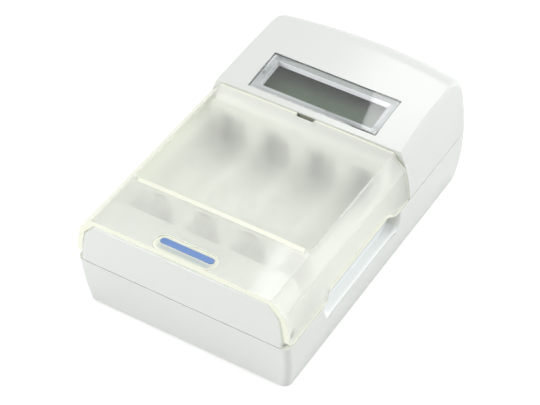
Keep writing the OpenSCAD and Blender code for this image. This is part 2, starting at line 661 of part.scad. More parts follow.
// Coil spring between the front wall and the slider
module slider_spring(i) color(steel) seat() translate([bay_x(i), 0, spring_z]) {
    sides = 6;
    steps = 12;
    n = spring_turns * steps;
    polyhedron(
        [for (k = [0 : n]) let (a = 360 * k / steps, y = spring_y0 + (spring_y1 - spring_y0) * k / n)
            for (j = [0 : sides - 1]) let (b = 360 * j / sides, r = spring_r + spring_wire_r * cos(b))
                [r * cos(a), y + spring_wire_r * sin(b), r * sin(a)]],
        concat([[for (j = [0 : sides - 1]) j]],
               [for (k = [0 : n - 1], j = [0 : sides - 1])
                    [k * sides + j, (k + 1) * sides + j, (k + 1) * sides + (j + 1) % sides, k * sides + (j + 1) % sides]],
               [[for (j = [sides - 1 : -1 : 0]) n * sides + j]]));
}

// Fixed contact of one bay: a bowed leaf on the rear wall, with its tail behind
module fixed_contact(i) color(nickel) seat() translate([bay_x(i), 0, 0]) {
    along_x(-4, 4) intersection() {
        translate([fixed_contact_y + leaf_r, tab_z + leaf_h / 2]) difference() {
            circle(leaf_r, $fn = 180);
            circle(leaf_r - strip_t, $fn = 180);
        }
        translate([fixed_contact_y - 1, tab_z]) square([1 + leaf_bow, leaf_h]);
    }
    box(-4, 4, tray_y1 - 0.3, tray_y1 + tray_wall + 0.8, tab_z, tab_z + strip_t);
    box(-1.5, 1.5, tray_y1 + tray_wall + 0.8 - strip_t, tray_y1 + tray_wall + 0.8, board_top, tab_z + strip_t);
}

// Fasteners and feet
module case_screws() color(steel) seat() for (p = screw_spots) translate([p.x, p.y, 0]) difference() {
    union() {
        translate([0, 0, head_seat - 1.9]) cylinder(h = 1.9, r = head_r);
        translate([0, 0, head_seat - 0.1]) cylinder(h = 14, r = screw_r - 0.25);
    }
    for (turn = [0, 90]) rotate(turn) translate([-1.5, -0.35, head_seat - 2.4]) cube([3, 0.7, 1.6]);
}
module board_screws() color(steel) seat() for (p = board_spots) translate([p.x, p.y, board_top]) {
    cylinder(h = 1.4, r = 2);
    translate([0, 0, -4.4]) cylinder(h = 4.5, r = 0.75);
}
module rubber_feet() color(part_black) seat() for (p = foot_spots) translate([p.x, p.y, 0]) {
    translate([0, 0, -foot_proud]) cylinder(h = foot_proud + foot_sunk, r1 = foot_r - 0.3, r2 = foot_r);
}

lower_shell();
upper_shell();
battery_tray();
lid();
lid_badge();
lcd_window();
lcd_bezel();
lcd_panel();
light_guide();
contact_strips();
display_board();
main_board();
microcontroller();
capacitors();
inductors();
power_transistors();
dc_jack();
ribbon_cable();
spring_terminals();
case_screws();
board_screws();
rubber_feet();
for (i = [1 : bays]) {
    slider(i);
    slider_contact(i);
    slider_spring(i);
    fixed_contact(i);
}
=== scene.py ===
import json
import math

import bpy
from mathutils import Matrix, Vector

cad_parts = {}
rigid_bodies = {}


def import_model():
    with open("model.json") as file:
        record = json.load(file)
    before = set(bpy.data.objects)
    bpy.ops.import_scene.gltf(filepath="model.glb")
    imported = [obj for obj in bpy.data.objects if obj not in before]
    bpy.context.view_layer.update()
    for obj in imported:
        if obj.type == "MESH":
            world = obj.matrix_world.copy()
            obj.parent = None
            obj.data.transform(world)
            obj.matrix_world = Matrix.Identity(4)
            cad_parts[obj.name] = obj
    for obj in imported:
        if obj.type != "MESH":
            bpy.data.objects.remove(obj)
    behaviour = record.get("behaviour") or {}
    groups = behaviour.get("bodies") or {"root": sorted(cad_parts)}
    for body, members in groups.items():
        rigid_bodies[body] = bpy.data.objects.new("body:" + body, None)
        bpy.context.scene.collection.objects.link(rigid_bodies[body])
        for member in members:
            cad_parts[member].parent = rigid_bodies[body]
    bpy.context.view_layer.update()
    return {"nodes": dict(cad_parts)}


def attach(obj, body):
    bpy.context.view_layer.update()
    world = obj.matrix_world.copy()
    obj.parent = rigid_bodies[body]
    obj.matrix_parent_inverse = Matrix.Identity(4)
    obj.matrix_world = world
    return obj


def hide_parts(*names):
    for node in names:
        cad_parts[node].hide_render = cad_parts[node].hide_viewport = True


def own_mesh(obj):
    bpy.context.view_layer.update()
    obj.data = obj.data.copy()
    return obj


for leftover in list(bpy.data.objects):
    bpy.data.objects.remove(leftover)
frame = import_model()
parts = frame["nodes"]

# Lower and upper shell: white ABS, injection moulded with a fine satin texture and closed by four
# screws from below. Their edges are slightly rounded, as a mould leaves them, and the white
# varies a little where the plastic cooled unevenly.
MM = 0.001
SHELL_WHITE, SHELL_MOTTLE = (0.79, 0.815, 0.785), 0.02
SATIN, POLISHED = 0.3, 0.24
CLOUD_SCALE = 55.0
CROWN_LEAN, TOP_FACING = 3.5, 0.9
SHELL_EDGE, EDGE_STEPS = 0.25 * MM, 2
WELD = 2e-6
SHARP_EDGE, FLAT_ENOUGH = math.radians(27), math.radians(0.4)


def node_group(name, inputs, outputs):
    """An empty shader node group with named sockets, and the nodes for its input and output."""
    group = bpy.data.node_groups.new(name, "ShaderNodeTree")
    for label, kind, default in inputs:
        socket = group.interface.new_socket(label, in_out="INPUT", socket_type="NodeSocket" + kind)
        socket.default_value = default
    for label, kind in outputs:
        group.interface.new_socket(label, in_out="OUTPUT", socket_type="NodeSocket" + kind)
    return group, group.nodes.new("NodeGroupInput"), group.nodes.new("NodeGroupOutput")


def paint_group(name, plain=(0.8, 0.8, 0.8, 1)):
    """A group that takes a colour and puts out the same colour with something painted on it."""
    return node_group(name, [("Color", "Color", plain)], [("Color", "Color")])


def add(tree, kind, settings=None, **inputs):
    """A new node with its settings and the values or links of its inputs. i3 is input 3."""
    node = tree.nodes.new(kind)
    for key, value in (settings or {}).items():
        setattr(node, key, value)
    for key, value in inputs.items():
        numbered = key[0] == "i" and key[1:].isdigit()
        socket = node.inputs[int(key[1:]) if numbered else key.replace("_", " ")]
        if isinstance(value, bpy.types.NodeSocket):
            tree.links.new(value, socket)
        else:
            socket.default_value = value
    return node


def maths(tree, operation, *values):
    """One step of arithmetic on values or links."""
    inputs = {"i%d" % k: value for k, value in enumerate(values)}
    return add(tree, "ShaderNodeMath", {"operation": operation}, **inputs).outputs[0]


def chain(tree, operation, first, *rest):
    """The same step of arithmetic on one value after another."""
    for value in rest:
        first = maths(tree, operation, first, value)
    return first


def scaled(tree, colour, share):
    """A colour made lighter or darker."""
    return add(tree, "ShaderNodeVectorMath", {"operation": "SCALE"}, Vector=colour,
               Scale=share).outputs[0]


def mixed(tree, share, plain, changed, kind="MIX"):
    """A colour between plain and changed. Either is a link or three numbers."""
    plain, changed = (value if isinstance(value, bpy.types.NodeSocket) else (*value, 1)
                      for value in (plain, changed))
    return add(tree, "ShaderNodeMix", {"data_type": "RGBA", "blend_type": kind},
               i0=share, i6=plain, i7=changed).outputs[2]


def step(tree, value, low, high, start=0.0, end=1.0):
    """A soft step over the surface, from start where value is low to end where it is high."""
    return add(tree, "ShaderNodeMapRange", {"interpolation_type": "SMOOTHSTEP"}, Value=value,
               From_Min=low, From_Max=high, To_Min=start, To_Max=end).outputs[0]


def step_mm(tree, value, low, high, start=0.0, end=1.0):
    """A soft step along a length, with low and high in millimetres."""
    return step(tree, value, low * MM, high * MM, start, end)


def within(tree, value, rise, fall, height=1.0):
    """A band along a length, between two soft steps in millimetres."""
    return maths(tree, "MULTIPLY", step_mm(tree, value, *rise, 0.0, height),
                 step_mm(tree, value, *fall, 1.0, 0.0))


def place(tree):
    """Where on the charger a point is, as x, y and z."""
    where = add(tree, "ShaderNodeTexCoord").outputs["Object"]
    at = add(tree, "ShaderNodeSeparateXYZ", Vector=where)
    return at.outputs["X"], at.outputs["Y"], at.outputs["Z"]


def moulded_grain():
    """Plastic straight from a mould: a faint mottle in its colour and a fine even grain."""
    group, given, out = node_group(
        "moulded grain",
        [("Color", "Color", (0.8, 0.8, 0.8, 1)), ("Roughness", "Float", 0.4),
         ("Mottle", "Float", 0.03), ("Grain Size", "Float", 0.35)],
        [("Color", "Color"), ("Roughness", "Float"), ("Height", "Float")])
    where = add(group, "ShaderNodeTexCoord").outputs["Object"]
    cloud = add(group, "ShaderNodeTexNoise", Vector=where, Scale=CLOUD_SCALE, Detail=3.0)
    swing = maths(group, "MULTIPLY", maths(group, "SUBTRACT", cloud.outputs["Fac"], 0.5),
                  given.outputs["Mottle"])
    per_metre = maths(group, "DIVIDE", 1.0 / MM, given.outputs["Grain Size"])
    grain = add(group, "ShaderNodeTexNoise", Vector=where, Scale=per_metre, Detail=2.0,
                Roughness=0.6)
    group.links.new(scaled(group, given.outputs["Color"], maths(group, "ADD", swing, 1.0)),
                    out.inputs["Color"])
    group.links.new(maths(group, "MULTIPLY_ADD", swing, 1.5, given.outputs["Roughness"]),
                    out.inputs["Roughness"])
    group.links.new(grain.outputs["Fac"], out.inputs["Height"])
    return group


GRAIN = moulded_grain()


def new_material(name):
    """A material with its node tree and its surface shader."""
    material = bpy.data.materials.new(name)
    material.use_nodes = True
    return material, material.node_tree, material.node_tree.nodes["Principled BSDF"]


def plastic(name, colour, roughness, mottle=0.03, grain=0.35, depth=0.004, **sockets):
    """A moulded plastic. grain is the grain's size and depth its height, in millimetres."""
    material, tree, surface = new_material(name)
    skin = add(tree, "ShaderNodeGroup", {"node_tree": GRAIN}, Color=(*colour, 1),
               Roughness=roughness, Mottle=mottle, Grain_Size=grain)
    bump = add(tree, "ShaderNodeBump", Strength=1.0, Distance=depth * MM,
               Height=skin.outputs["Height"])
    tree.links.new(skin.outputs["Color"], surface.inputs["Base Color"])
    tree.links.new(skin.outputs["Roughness"], surface.inputs["Roughness"])
    tree.links.new(bump.outputs["Normal"], surface.inputs["Normal"])
    for key, value in sockets.items():
        surface.inputs[key.replace("_", " ")].default_value = value
    return material


def painted(material, group):
    """Passes a material's colour through a paint group on its way to the surface."""
    tree = material.node_tree
    base = tree.nodes["Principled BSDF"].inputs["Base Color"]
    paint = add(tree, "ShaderNodeGroup", {"node_tree": group}, Color=base.links[0].from_socket)
    tree.links.new(paint.outputs["Color"], base)
    return material


def skin_group():
    """Joins a solid's faces into one skin that shades smoothly, with its sharp edges kept."""
    group = bpy.data.node_groups.new("one skin", "GeometryNodeTree")
    for way in ("INPUT", "OUTPUT"):
        group.interface.new_socket("Geometry", in_out=way, socket_type="NodeSocketGeometry")
    given, out = group.nodes.new("NodeGroupInput"), group.nodes.new("NodeGroupOutput")
    joined = add(group, "GeometryNodeMergeByDistance", Geometry=given.outputs[0], Distance=WELD)
    plain = add(group, "GeometryNodeRemoveAttribute", Geometry=joined.outputs[0],
                Name="custom_normal")
    smooth = add(group, "GeometryNodeSetShadeSmooth", {"domain": "FACE"},
                 Geometry=plain.outputs[0])
    angle = add(group, "GeometryNodeInputMeshEdgeAngle").outputs["Unsigned Angle"]
    sharp = add(group, "FunctionNodeCompare",
                {"data_type": "FLOAT", "operation": "GREATER_THAN"}, A=angle, B=SHARP_EDGE)
    edges = add(group, "GeometryNodeSetShadeSmooth", {"domain": "EDGE"},
                Geometry=smooth.outputs[0], Selection=sharp.outputs[0], Shade_Smooth=False)
    group.links.new(edges.outputs[0], out.inputs[0])
    return group


ONE_SKIN = skin_group()


def finish(node, material, edge=0.0):
    """Gives a carried-over solid its material, one smooth skin and, with edge, rounded edges."""
    piece = parts[node]
    piece.data.materials.clear()
    piece.data.materials.append(material)
    piece.modifiers.new("one skin", "NODES").node_group = ONE_SKIN
    if edge:
        flat = piece.modifiers.new("whole faces", "DECIMATE")
        flat.decimate_type, flat.angle_limit = "DISSOLVE", FLAT_ENOUGH
        rounded = piece.modifiers.new("rounded edges", "BEVEL")
        rounded.limit_method, rounded.angle_limit = "ANGLE", SHARP_EDGE
        rounded.width, rounded.segments = edge, EDGE_STEPS
        rounded.use_clamp_overlap = True
        piece.modifiers.new("even shading", "WEIGHTED_NORMAL").keep_sharp = False


def finger_groove():
    """The two finger grooves under the lid's sides, with painted light and shade."""
    painted_floor_light, painted_edge_shade = (0.95, 0.98, 1.0), (0.30, 0.31, 0.30)
    group, given, out = paint_group("finger groove")
    x, y, z = place(group)
    across = maths(group, "ABSOLUTE", x)
    along = within(group, y, (-39.5, -38.5), (7.5, 8.5))
    level = within(group, z, (13.3, 13.6), (15.0, 16.0))
    floor = chain(group, "MULTIPLY", along, level, step_mm(group, across, 36.0, 36.2))
    outline = chain(group, "MULTIPLY", along, step_mm(group, across, 39.7, 39.8, 0.0, 0.55),
                    within(group, z, (13.0, 13.1), (13.35, 13.45)))
    # Painted highlight: the floor bluish white. Painted shade: a thin grey line along the outer
    # rim.
    colour = mixed(group, floor, given.outputs["Color"], painted_floor_light)
    group.links.new(mixed(group, outline, colour, painted_edge_shade), out.inputs["Color"])
    return group


def latch_recess():
    """The recess behind the lid's notch, painted dark as painted shade."""
    painted_recess_shade = (0.36, 0.365, 0.30)
    group, given, out = paint_group("latch recess")
    x, y, z = place(group)
    wide = step_mm(group, maths(group, "ABSOLUTE", x), 3.9, 4.0, 1.0, 0.0)
    deep = within(group, y, (15.5, 15.6), (16.65, 16.75))
    mask = chain(group, "MULTIPLY", wide, deep, step_mm(group, z, 40.7, 40.9, 1.0, 0.0))
    # Painted shade inside the recess.
    group.links.new(mixed(group, mask, given.outputs["Color"], painted_recess_shade), out.inputs["Color"])
    return group


def soft_crown():
    """The top's slight sideways crown, which a shallow mould gives and the light picks out."""
    group, given, out = node_group("soft crown", [("Lean", "Float", 1.0)], [("Normal", "Vector")])
    facing = add(group, "ShaderNodeNewGeometry").outputs["Normal"]
    up = add(group, "ShaderNodeSeparateXYZ", Vector=facing).outputs["Z"]
    top = maths(group, "GREATER_THAN", up, TOP_FACING)
    lean = chain(group, "MULTIPLY", place(group)[0], given.outputs["Lean"], top)
    push = add(group, "ShaderNodeCombineXYZ", X=lean).outputs[0]
    leant = add(group, "ShaderNodeVectorMath", {"operation": "ADD"}, i0=facing, i1=push)
    unit = add(group, "ShaderNodeVectorMath", {"operation": "NORMALIZE"}, i0=leant.outputs[0])
    group.links.new(unit.outputs[0], out.inputs["Normal"])
    return group


shell_base = plastic("shell_plastic", SHELL_WHITE, SATIN, mottle=SHELL_MOTTLE)
finish("lower_shell", painted(shell_base, finger_groove()), SHELL_EDGE)
shell_top = plastic("top_plastic", SHELL_WHITE, POLISHED, mottle=SHELL_MOTTLE)
finish("upper_shell", painted(shell_top, latch_recess()), SHELL_EDGE)
tree = shell_top.node_tree
crown = add(tree, "ShaderNodeGroup", {"node_tree": soft_crown()}, Lean=CROWN_LEAN)
tree.links.new(crown.outputs["Normal"], tree.nodes["Bump"].inputs["Normal"])

# Battery tray: a separate white moulding with four troughs for the cells, which lies on ledges in
# the upper shell. Its white is slightly warmer and duller than the shells', its edges finer.
TRAY_WHITE, FINE_EDGE = (0.80, 0.81, 0.77), 0.15 * MM
tray = plastic("tray_plastic", TRAY_WHITE, roughness=0.35, mottle=0.02)
finish("battery_tray", tray, FINE_EDGE)

# Lid: one frosted, slightly milky moulding of clear plastic, 2 mm thick, on two pins at its front.
# Its flat top is blasted matt inside. The strip in front of the rib and the slanting sides are
# clearer. Its cut edges, the undersides and inner faces of its skirts, a line over the rib and the
# badge dish are painted opaque cream, and so are faces seen edge-on: partly the plastic's tint
# through its thickness, partly a painted glow of the light it gathers.
LID_TINT = (0.875, 0.882, 0.855)
LID_SHADOW = (0.80, 0.815, 0.785)
LID_CREAM_GLOW = (0.93, 0.94, 0.80)
DISH_GLINT = (0.42, 0.56, 0.66)
GAP_SHADE_KHAKI = (0.25, 0.25, 0.19)
LID_IOR, LID_EDGE = 1.45, 0.3 * MM
LID_GRAIN = 0.0008 * MM
RIB_Y, RIB_HALF = -39.4, 31.6
BADGE_Y, BADGE_HALF = -59.45, 7.95
SKIRT_FOOT, ARCH_RISE = 21.6 * MM, 4.3 * MM


def summed(tree, base, *terms):
    """base plus each term's value times its share."""
    for value, share in terms:
        base = maths(tree, "MULTIPLY_ADD", value, share, base)
    return base


def flat_and_sides(group, x):
    """Masks of the lid's flat top and of its slanting sides."""
    flat = step_mm(group, maths(group, "ABSOLUTE", x), 33.5, 34.2, 1.0, 0.0)
    return flat, maths(group, "SUBTRACT", 1.0, flat)


def facing_and_inside(group, x):
    """Which way each of the lid's faces looks, and a mask of the ones inside it."""
    where = add(group, "ShaderNodeTexCoord").outputs["Normal"]
    facing = add(group, "ShaderNodeSeparateXYZ", Vector=where).outputs
    inward = maths(group, "MULTIPLY", facing["X"], x)
    inside = maths(group, "MAXIMUM", step(group, facing["Z"], -0.6, -0.2, 1.0, 0.0),
                   step(group, inward, -0.012, -0.004, 1.0, 0.0))
    return facing, inside


def lid_frosting():
    """Roughness, clearness and painted shade of the lid. It is milkier at its thick rear."""
    group, _, out = node_group("lid frosting", [], [("Roughness", "Float"), ("Clear", "Float"),
                                                    ("Shade", "Float")])
    x, y, _ = place(group)
    flat, sides = flat_and_sides(group, x)
    _, inside = facing_and_inside(group, x)
    matt = maths(group, "MULTIPLY", step_mm(group, y, RIB_Y, RIB_Y + 0.8), flat)
    thick = maths(group, "MULTIPLY", step_mm(group, y, 8.0, 12.5), flat)
    strip = maths(group, "SUBTRACT", flat, matt)
    # Painted shade: the matt top lighter on the left, darker on the right; sides lighter to the
    # front.
    painted_side_shade = maths(group, "MULTIPLY", x, matt)
    painted_front_light = step_mm(group, y, -60, 14, 0.13, 0.02)
    blasted = summed(group, 0.27, (inside, 0.06))
    for label, value in (
            ("Roughness", summed(group, 0.05, (sides, 0.10), (matt, blasted))),
            ("Clear", summed(group, 0.60, (matt, 0.28), (sides, -0.10), (thick, -0.5))),
            # Shade is painted shade: also darker at the thick rear and on the strip in front of
            # the rib.
            ("Shade", summed(group, 1.0, (painted_side_shade, -3.0), (thick, -0.09), (strip, -0.03),
                             (sides, painted_front_light)))):
        group.links.new(value, out.inputs[label])
    return group


def lid_edges():
    """Masks for the lid's painted cream glow, painted gap shadow and painted inlay reflection."""
    group, _, out = node_group("lid edges", [], [("Edge", "Float"), ("Slot", "Float"),
                                                 ("Glint", "Float")])
    x, y, z = place(group)
    across = maths(group, "ABSOLUTE", x)
    _, sides = flat_and_sides(group, x)
    facing, inside = facing_and_inside(group, x)
    front = maths(group, "MULTIPLY", step(group, facing["Y"], -0.7, -0.3, 1.0, 0.0),
                  step_mm(group, y, -62.6, -62.2, 1.0, 0.0))
    rear = maths(group, "MULTIPLY", step_mm(group, y, 14.2, 14.4, 0.0, 0.55),
                 step_mm(group, across, 3.6, 3.9))
    # Painted shade of the gap behind the lid, khaki, at the rear corners of its sides.
    slot = maths(group, "MULTIPLY", step_mm(group, y, 14.5, 14.6, 0.0, 0.6),
                 step_mm(group, across, 34.5, 35.0))
    rim = maths(group, "MULTIPLY", step(group, facing["Z"], -0.7, -0.4, 1.0, 0.0),
                step_mm(group, z, 35, 36, 1.0, 0.0))
    arch = maths(group, "MINIMUM", step_mm(group, y, -39.9, -37.0),
                 step_mm(group, y, 0.0, 6.6, 1.0, 0.0))
    above = maths(group, "SUBTRACT", z, summed(group, SKIRT_FOOT, (arch, ARCH_RISE)))
    hem = maths(group, "MULTIPLY", step_mm(group, above, 0.8, 1.1, 0.9, 0.0),
                step_mm(group, across, 37, 38))
    skirt = chain(group, "MULTIPLY", sides, inside, 0.5)
    # The rib lies inside: a painted line of glow over it on the outer top.
    off_rib = maths(group, "ABSOLUTE", maths(group, "SUBTRACT", y, RIB_Y * MM))
    rib = chain(group, "MULTIPLY", step_mm(group, off_rib, 0.75, 1.0, 1.0, 0.0),
                step_mm(group, z, 39.8, 40.0),
                step_mm(group, across, RIB_HALF, RIB_HALF + 0.2, 1.0, 0.0))
    past = maths(group, "MAXIMUM", maths(group, "SUBTRACT", across, BADGE_HALF * MM), 0.0)
    ahead = maths(group, "SUBTRACT", y, BADGE_Y * MM)
    from_badge = maths(group, "SQRT", summed(group, maths(group, "MULTIPLY", ahead, ahead),
                                             (past, past)))
    upper = step_mm(group, z, 36, 37)
    dish = chain(group, "MULTIPLY", step_mm(group, from_badge, 2.9, 3.3, 0.35, 0.65),
                 step_mm(group, from_badge, 3.65, 3.8, 1.0, 0.0), upper)
    # Painted reflection: the blue inlay shows pale blue in the dish in front of it.
    glint = chain(group, "MULTIPLY", step_mm(group, y, -62.0, -61.5),
                  step_mm(group, y, -60.4, -60.0, 0.7, 0.0),
                  step_mm(group, across, 8.5, 10.5, 1.0, 0.0), upper)
    edge = chain(group, "MAXIMUM", front, rear, dish, rim, hem, skirt, rib)
    for label, value in (("Edge", edge), ("Slot", slot), ("Glint", glint)):
        group.links.new(value, out.inputs[label])
    return group


def frosted_lid():
    """Clear and milky plastic in one, with edges painted cream as glow. Lamps shine through it."""
    material, tree, clear = new_material("frosted_lid")
    skin = add(tree, "ShaderNodeGroup", {"node_tree": GRAIN}, Color=(*LID_TINT, 1),
               Roughness=0.5, Mottle=0.02, Grain_Size=0.5)
    frosting = add(tree, "ShaderNodeGroup", {"node_tree": lid_frosting()}).outputs
    edges = add(tree, "ShaderNodeGroup", {"node_tree": lid_edges()}).outputs
    bump = add(tree, "ShaderNodeBump", Strength=1.0, Distance=LID_GRAIN,
               Height=skin.outputs["Height"]).outputs["Normal"]
    tint = scaled(tree, skin.outputs["Color"], frosting["Shade"])
    milky = tree.nodes.new("ShaderNodeBsdfPrincipled")
    for surface in (clear, milky):
        tree.links.new(tint, surface.inputs["Base Color"])
        tree.links.new(frosting["Roughness"], surface.inputs["Roughness"])
        tree.links.new(bump, surface.inputs["Normal"])
        surface.inputs["IOR"].default_value = LID_IOR
    clear.inputs["Transmission Weight"].default_value = 1.0
    frosted = add(tree, "ShaderNodeMixShader", i0=frosting["Clear"], i1=milky.outputs[0],
                  i2=clear.outputs[0])
    trim = mixed(tree, edges["Slot"], mixed(tree, edges["Glint"], LID_CREAM_GLOW, DISH_GLINT),
                 GAP_SHADE_KHAKI)
    cream = add(tree, "ShaderNodeBsdfPrincipled", Base_Color=trim, Roughness=0.35)
    # Faces seen edge-on are painted cream as well: painted glow.
    glancing = add(tree, "ShaderNodeLayerWeight", Blend=0.5).outputs["Facing"]
    side_on = step(tree, glancing, 0.7, 0.85, 0.0, 0.8)
    solid = chain(tree, "MAXIMUM", edges["Edge"], side_on, edges["Slot"])
    body = add(tree, "ShaderNodeMixShader", i0=solid, i1=frosted.outputs[0], i2=cream.outputs[0])
    shadow = add(tree, "ShaderNodeBsdfTransparent", Color=(*LID_SHADOW, 1))
    path = add(tree, "ShaderNodeLightPath")
    seen = add(tree, "ShaderNodeMixShader", i0=path.outputs["Is Shadow Ray"],
               i1=body.outputs[0], i2=shadow.outputs[0])
    tree.links.new(seen.outputs[0], tree.nodes["Material Output"].inputs["Surface"])
    return material


finish("lid", frosted_lid(), LID_EDGE)

# Badge: a blue inlay of glossy plastic with round ends, moulded by itself and pressed into a
# shallow dish in the lid's front edge.
INLAY_BLUE, BADGE_EDGE = (0.14, 0.27, 0.60), 0.3 * MM
badge = plastic("inlay_blue", INLAY_BLUE, roughness=0.2, mottle=0.3, Coat_Weight=0.3)
finish("lid_badge", badge, BADGE_EDGE)

# Display window: a pane of clear acrylic with a hard coat, set flush in the housing's top over
# the display frame.
WINDOW_TINT, WINDOW_SHADOW = (0.97, 0.98, 0.99), (0.92, 0.93, 0.95)
WINDOW_IOR = 1.49


def clear_window():
    """Clear acrylic that lamps shine through."""
    material, tree, surface = new_material("window_clear")
    skin = add(tree, "ShaderNodeGroup", {"node_tree": GRAIN}, Color=(*WINDOW_TINT, 1),
               Roughness=0.02, Mottle=0.01, Grain_Size=2.0)
    tree.links.new(skin.outputs["Color"], surface.inputs["Base Color"])
    tree.links.new(skin.outputs["Roughness"], surface.inputs["Roughness"])
    surface.inputs["IOR"].default_value = WINDOW_IOR
    surface.inputs["Transmission Weight"].default_value = 1.0
    shadow = add(tree, "ShaderNodeBsdfTransparent", Color=(*WINDOW_SHADOW, 1))
    path = add(tree, "ShaderNodeLightPath")
    seen = add(tree, "ShaderNodeMixShader", i0=path.outputs["Is Shadow Ray"],
               i1=surface.outputs[0], i2=shadow.outputs[0])
    tree.links.new(seen.outputs[0], tree.nodes["Material Output"].inputs["Surface"])
    return material


finish("lcd_window", clear_window(), FINE_EDGE)

# Display frame: a white moulding under the window. Only its face is sprayed silver, with a dark
# outline, a grey band at the rear and a grey line all round. Its walls stay white.
FRAME_SILVER, FRAME_WALL = (0.47, 0.495, 0.485), (0.97, 0.97, 0.96)
FRAME_GREY, FRAME_DARK = (0.30, 0.325, 0.305), (0.09, 0.10, 0.09)
FRAME_HALF, FRAME_FRONT, FRAME_REAR = 25.1 * MM, 18.18 * MM, 36.52 * MM
SEEN_FRONT = 0.55 * MM


def printed_frame():
    """The marks on the frame's face, by their distance from its edges."""
    group, given, out = paint_group("printed frame", (0.6, 0.6, 0.6, 1))
    x, y, _ = place(group)
    side = maths(group, "SUBTRACT", FRAME_HALF, maths(group, "ABSOLUTE", x))
    front = maths(group, "SUBTRACT", y, FRAME_FRONT)
    rear = maths(group, "SUBTRACT", FRAME_REAR, y)
    off = chain(group, "MINIMUM", front, rear, side)
    off_seen = chain(group, "MINIMUM", maths(group, "SUBTRACT", front, SEEN_FRONT), rear, side)
    line = maths(group, "MULTIPLY", within(group, off, (1.1, 1.2), (1.45, 1.55), 0.8),
                 step_mm(group, x, -24.5, -22))
    band = maths(group, "MULTIPLY", step_mm(group, rear, 2.55, 2.7, 0.8, 0.0),
                 step_mm(group, side, 1.0, 1.6))
    grey = mixed(group, maths(group, "MAXIMUM", line, band), given.outputs["Color"], FRAME_GREY)
    outline = step_mm(group, off_seen, 0.35, 0.5, 0.85, 0.0)
    group.links.new(mixed(group, outline, grey, FRAME_DARK), out.inputs["Color"])
    return group


silver = plastic("frame_silver", FRAME_SILVER, roughness=0.3, mottle=0.08, grain=0.15)
frame_paint = painted(silver, printed_frame())
tree = frame_paint.node_tree
base = tree.nodes["Principled BSDF"].inputs["Base Color"]
facing = add(tree, "ShaderNodeSeparateXYZ",
             Vector=add(tree, "ShaderNodeTexCoord").outputs["Normal"]).outputs["Z"]
face = mixed(tree, step(tree, facing, 0.6, 0.8), FRAME_WALL, base.links[0].from_socket)
tree.links.new(face, base)
finish("lcd_bezel", frame_paint)

# Display: dark green-grey glass on a white light guide, with a strip of black rubber contacts
# at front and rear. Its little board closes the stack from below, on two pegs of the upper shell.
LCD_GREEN, GUIDE_WHITE = (0.070, 0.098, 0.060), (0.85, 0.85, 0.82)
RUBBER_BLACK, LAMINATE = (0.03, 0.03, 0.03), (0.45, 0.50, 0.42)


def panel_shade():
    """Painted shade: lighter to the front, where light reaches under the frame, and to the right.
    """
    group, given, out = paint_group("panel shade", (0.1, 0.1, 0.1, 1))
    x, y, _ = place(group)
    shade = maths(group, "MULTIPLY", step_mm(group, y, 24.0, 34.2, 1.0, 0.1),
                  step_mm(group, x, -22.5, -10, 0.5, 1.0))
    group.links.new(scaled(group, given.outputs["Color"], shade), out.inputs["Color"])
    return group


panel = plastic("lcd_glass", LCD_GREEN, roughness=0.15, mottle=0.1, grain=1.0, depth=0.0001,
                Specular_IOR_Level=0.15)
finish("lcd_panel", painted(panel, panel_shade()))
finish("light_guide", plastic("guide_white", GUIDE_WHITE, roughness=0.25))
finish("contact_strips", plastic("soft_black", RUBBER_BLACK, roughness=0.6, mottle=0.2))
board = plastic("board_pale", LAMINATE, roughness=0.35, mottle=0.3, grain=0.8, depth=0.01)
finish("display_board", board)

# Electronics: the main board, of the same pale laminate, carries the chip, two coils, four power
# transistors, two capacitors in blue sleeves and the power inlet, all soldered. A grey ribbon
# cable joins it to the display's board.
PART_BLACK, SLEEVE_BLUE = (0.02, 0.02, 0.022), (0.03, 0.035, 0.15)
CABLE_GREY = (0.55, 0.55, 0.52)
finish("main_board", board)
part_black = plastic("part_black", PART_BLACK, roughness=0.5, mottle=0.3, grain=0.2)
for node in ("microcontroller", "inductors", "power_transistors", "dc_jack"):
    finish(node, part_black)
finish("capacitors", plastic("can_blue", SLEEVE_BLUE, roughness=0.3, mottle=0.2))
finish("ribbon_cable", plastic("cable_grey", CABLE_GREY, roughness=0.5, mottle=0.2))

# Fixed contacts: one bowed leaf of nickel-plated sheet steel on the tray's rear wall in each bay,
# with a tail soldered to the main board. Each leaf's middle is painted near black, a little
# lighter at its tip: painted shade of the dark hollow behind it.
BAYS, BAY_PITCH = "1234", 17.7
LEAF_NICKEL, UNSHADED = (0.75, 0.75, 0.72), (1, 1, 1)
LEAF_SHADE_DARK, LEAF_TIP = (0.01, 0.01, 0.01), (0.15, 0.15, 0.15)


def strip_tip(name, rise, foot, tip, middle=None):
    """Another tone at a strip's tip and, with middle, the plain colour out from its middle."""
    group, given, out = paint_group(name, (0.5, 0.5, 0.5, 1))
    x, _, z = place(group)
    tone = mixed(group, step_mm(group, z, *rise), foot, tip)
    if middle:
        bay = maths(group, "FRACT", maths(group, "DIVIDE", x, BAY_PITCH * MM))
        off = maths(group, "ABSOLUTE", maths(group, "SUBTRACT", bay, 0.5))
        unshaded_part = step(group, off, middle[0] / BAY_PITCH, middle[1] / BAY_PITCH)
        tone = mixed(group, unshaded_part, tone, UNSHADED)
    group.links.new(mixed(group, 1.0, given.outputs["Color"], tone, "MULTIPLY"),
                    out.inputs["Color"])
    return group


leaf = plastic("leaf_nickel", LEAF_NICKEL, roughness=0.5, mottle=0.3, grain=0.1, Metallic=0.2)
# Painted shade: near black in the leaf's middle, lightening towards its tip.
painted(leaf, strip_tip("leaf tip", rise=(27, 32.5), foot=LEAF_SHADE_DARK, tip=LEAF_TIP,
                        middle=(2.1, 3.9)))
for bay in BAYS:
    finish("fixed_contact_" + bay, leaf)

